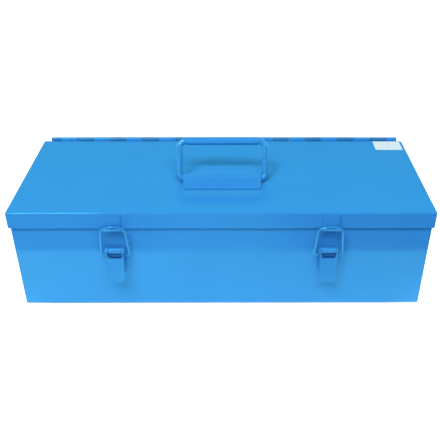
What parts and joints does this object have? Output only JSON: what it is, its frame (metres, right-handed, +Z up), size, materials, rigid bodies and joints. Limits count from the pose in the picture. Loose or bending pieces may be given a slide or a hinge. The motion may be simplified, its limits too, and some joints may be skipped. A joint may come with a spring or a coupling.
{
  "type": "tool case",
  "caption": "Painted sheet-steel tool case with a piano-hinged lid, a folding rod handle on a welded bracket and over-centre draw latches on the front.",
  "frame": {"origin": "middle of the floor's underside, on the surface the case stands on", "axes": "+X along the case, -Y towards the front with the latches, +Z up"},
  "size_m": [0.48, 0.2, 0.1774],
  "materials": {
    "paint": "semi-gloss sky-blue paint",
    "hinge_pin": "plain steel wire",
    "label": "blank white sticker"
  },
  "bodies": {
    "case": {"body_wrap": "paint", "end_panel_left": "paint", "end_panel_right": "paint", "hinge_leaf_body": "paint", "hinge_pin": "hinge_pin", "latch_base_left": "paint", "latch_base_right": "paint", "latch_pin_left": "paint", "latch_pin_right": "paint"},
    "lid": {"lid_shell": "paint", "hinge_leaf_lid": "paint", "handle_bracket": "paint", "latch_hook_left": "paint", "latch_hook_right": "paint", "label": "label"},
    "handle": {"handle_bail": "paint", "handle_grip": "paint"},
    "lever_left": {"latch_lever_left": "paint"},
    "lever_right": {"latch_lever_right": "paint"},
    "wire_left": {"latch_bail_left": "paint", "latch_sleeve_left": "paint"},
    "wire_right": {"latch_bail_right": "paint", "latch_sleeve_right": "paint"}
  },
  "joints": [
    {"name": "lid_hinge", "type": "hinge", "parent": "case", "child": "lid", "pos_m": [0, 0.0945, 0.1323], "axis": [-1, 0, 0], "range_deg": [0, 180]},
    {"name": "handle_swing", "type": "hinge", "parent": "lid", "child": "handle", "pos_m": [0, -0.0215, 0.1366], "axis": [1, 0, 0], "range_deg": [-52, 126]},
    {"name": "latch_lever_left", "type": "hinge", "parent": "case", "child": "lever_left", "pos_m": [-0.122, -0.0938, 0.0826], "axis": [-1, 0, 0], "range_deg": [0, 95]},
    {"name": "latch_wire_left", "type": "hinge", "parent": "lever_left", "child": "wire_left", "pos_m": [-0.122, -0.0922, 0.07579], "axis": [-1, 0, 0], "range_deg": [-81, 0]},
    {"name": "latch_lever_right", "type": "hinge", "parent": "case", "child": "lever_right", "pos_m": [0.122, -0.0938, 0.0826], "axis": [-1, 0, 0], "range_deg": [0, 95]},
    {"name": "latch_wire_right", "type": "hinge", "parent": "lever_right", "child": "wire_right", "pos_m": [0.122, -0.0922, 0.07579], "axis": [-1, 0, 0], "range_deg": [-81, 0]}
  ],
  "couplings": [
    {"joint": "latch_wire_left", "follows": "latch_lever_left", "ratio": -0.85},
    {"joint": "latch_wire_right", "follows": "latch_lever_right", "ratio": -0.85}
  ]
}
